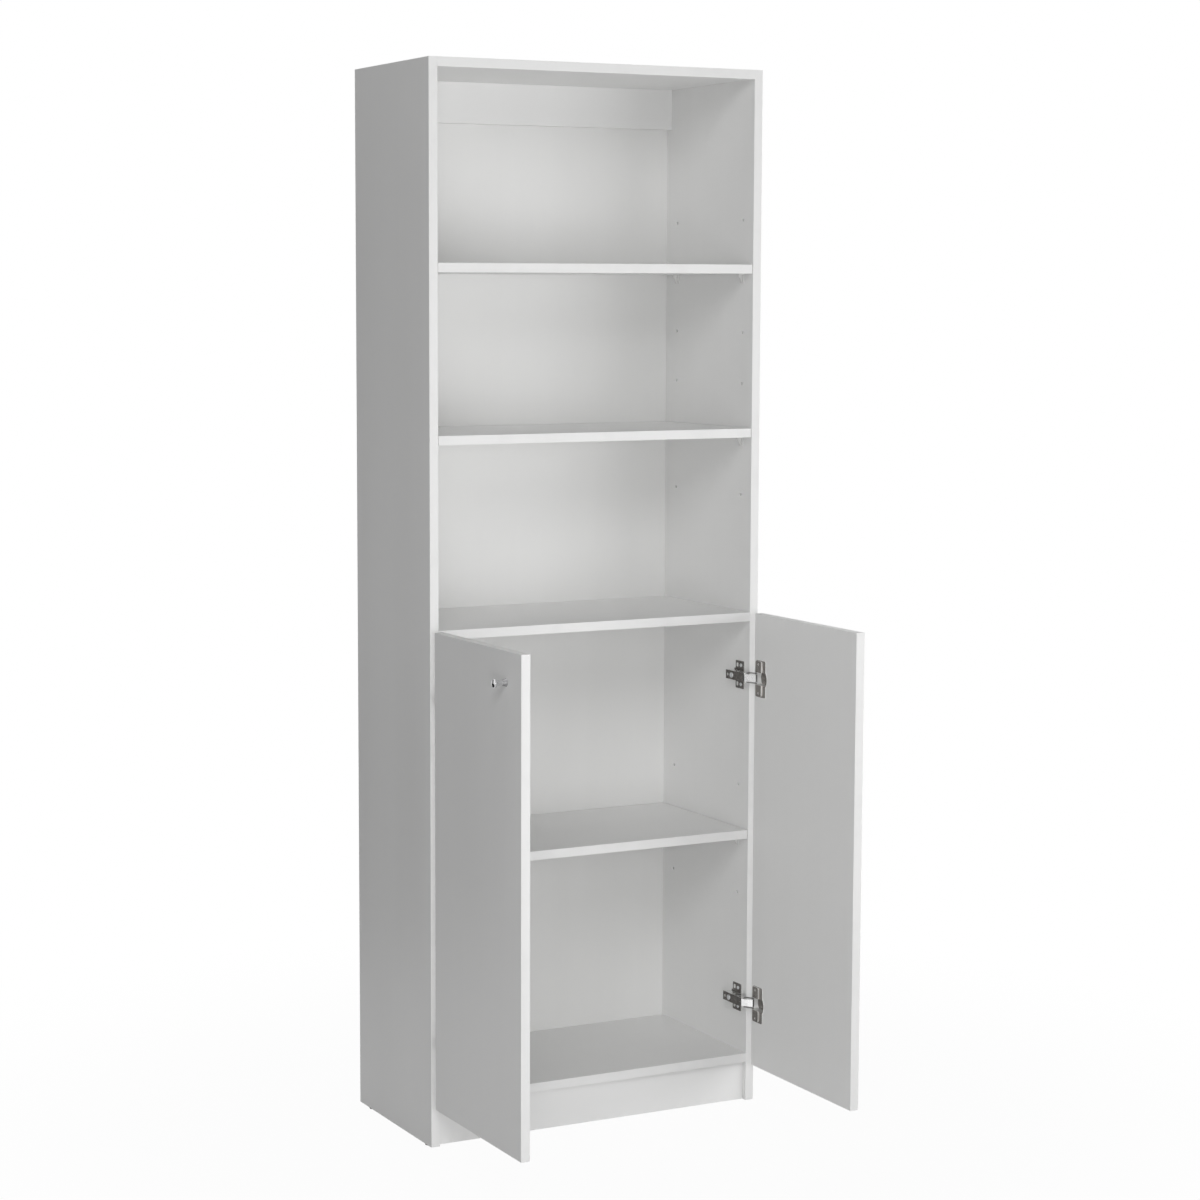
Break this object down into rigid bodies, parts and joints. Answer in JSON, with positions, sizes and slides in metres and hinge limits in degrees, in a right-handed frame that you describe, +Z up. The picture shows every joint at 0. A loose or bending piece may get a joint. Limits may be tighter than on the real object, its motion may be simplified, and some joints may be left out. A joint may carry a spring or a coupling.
{
  "type": "bookcase",
  "caption": "Tall white bookcase with open adjustable shelves above a cabinet whose swing doors hang on concealed hinges and have turned metal knobs.",
  "frame": {"origin": "on the floor, halfway across the width, in the upright plane that holds both door axes, 17 mm in front of the carcass", "axes": "+X to the right seen from the front, +Y to the back, +Z up"},
  "size_m": [0.644, 0.601, 1.72],
  "materials": {
    "white_board": "matte white melamine on particleboard",
    "white_hardboard": "matte white foil on hardboard",
    "white_edging": "matte white edging",
    "white_plastic": "smooth white moulded plastic",
    "brown_plastic": "dark brown moulded plastic",
    "dowel_wood": "bare beech",
    "cam_metal": "dull die-cast zinc",
    "zinc_steel": "bright zinc plating",
    "hinge_steel": "satin nickel plating",
    "hinge_cup_steel": "satin nickel plating",
    "hinge_link_steel": "bright nickel plating",
    "knob_chrome": "polished chrome"
  },
  "bodies": {
    "carcass": {"left_side_panel": "white_board", "right_side_panel": "white_board", "left_side_front_band": "white_edging", "right_side_front_band": "white_edging", "top_panel": "white_board", "top_panel_front_band": "white_edging", "fixed_shelf": "white_board", "fixed_shelf_front_band": "white_edging", "bottom_panel": "white_board", "bottom_panel_front_band": "white_edging", "upper_shelf": "white_board", "middle_shelf": "white_board", "cabinet_shelf": "white_board", "loose_shelf_front_bands": "white_edging", "kick_board": "white_board", "top_rear_rail": "white_board", "back_panel": "white_hardboard", "back_panel_nails": "zinc_steel", "shelf_supports": "white_plastic", "floor_glides": "brown_plastic", "cam_bolts": "zinc_steel", "cam_locks": "cam_metal", "wood_dowels": "dowel_wood", "arm_pins": "zinc_steel", "plate_screws": "zinc_steel", "arm_screws": "zinc_steel", "left_upper_hinge_arm": "hinge_steel", "left_upper_mounting_plate": "hinge_steel", "left_lower_hinge_arm": "hinge_steel", "left_lower_mounting_plate": "hinge_steel", "right_upper_hinge_arm": "hinge_steel", "right_upper_mounting_plate": "hinge_steel", "right_lower_hinge_arm": "hinge_steel", "right_lower_mounting_plate": "hinge_steel"},
    "left_door": {"left_door": "white_board", "left_door_edge_bands": "white_edging", "left_knob": "knob_chrome", "left_knob_screw": "zinc_steel", "left_cup_screws": "hinge_cup_steel", "left_upper_hinge_cup": "hinge_cup_steel", "left_lower_hinge_cup": "hinge_cup_steel"},
    "left_outer_links": {"left_upper_outer_link": "hinge_link_steel", "left_lower_outer_link": "hinge_link_steel", "left_outer_link_pins": "hinge_link_steel"},
    "left_inner_links": {"left_upper_inner_link": "hinge_link_steel", "left_lower_inner_link": "hinge_link_steel"},
    "right_door": {"right_door": "white_board", "right_door_edge_bands": "white_edging", "right_knob": "knob_chrome", "right_knob_screw": "zinc_steel", "right_cup_screws": "hinge_cup_steel", "right_upper_hinge_cup": "hinge_cup_steel", "right_lower_hinge_cup": "hinge_cup_steel"},
    "right_outer_links": {"right_upper_outer_link": "hinge_link_steel", "right_lower_outer_link": "hinge_link_steel", "right_outer_link_pins": "hinge_link_steel"},
    "right_inner_links": {"right_upper_inner_link": "hinge_link_steel", "right_lower_inner_link": "hinge_link_steel"}
  },
  "joints": [
    {"name": "right_door_hinge", "type": "hinge", "parent": "carcass", "child": "right_door", "pos_m": [0.299, 0, 0.4515], "axis": [0, 0, 1], "range_deg": [-90, 10]},
    {"name": "right_outer_links_pivot", "type": "hinge", "parent": "carcass", "child": "right_outer_links", "pos_m": [0.27, 0.0075, 0.4515], "axis": [0, 0, 1], "range_deg": [-6, 46.5]},
    {"name": "right_inner_links_pivot", "type": "hinge", "parent": "carcass", "child": "right_inner_links", "pos_m": [0.275, 0.0065, 0.4515], "axis": [0, 0, 1], "range_deg": [-7.5, 60.5]},
    {"name": "left_door_hinge", "type": "hinge", "parent": "carcass", "child": "left_door", "pos_m": [-0.299, 0, 0.4515], "axis": [0, 0, 1], "range_deg": [-10, 90]},
    {"name": "left_outer_links_pivot", "type": "hinge", "parent": "carcass", "child": "left_outer_links", "pos_m": [-0.27, 0.0075, 0.4515], "axis": [0, 0, 1], "range_deg": [-46.5, 6]},
    {"name": "left_inner_links_pivot", "type": "hinge", "parent": "carcass", "child": "left_inner_links", "pos_m": [-0.275, 0.0065, 0.4515], "axis": [0, 0, 1], "range_deg": [-60.5, 7.5]}
  ],
  "couplings": [
    {"joint": "right_outer_links_pivot", "follows": "right_door_hinge", "ratio": -0.51111},
    {"joint": "right_inner_links_pivot", "follows": "right_door_hinge", "ratio": -0.66667},
    {"joint": "left_outer_links_pivot", "follows": "left_door_hinge", "ratio": -0.51111},
    {"joint": "left_inner_links_pivot", "follows": "left_door_hinge", "ratio": -0.66667}
  ]
}
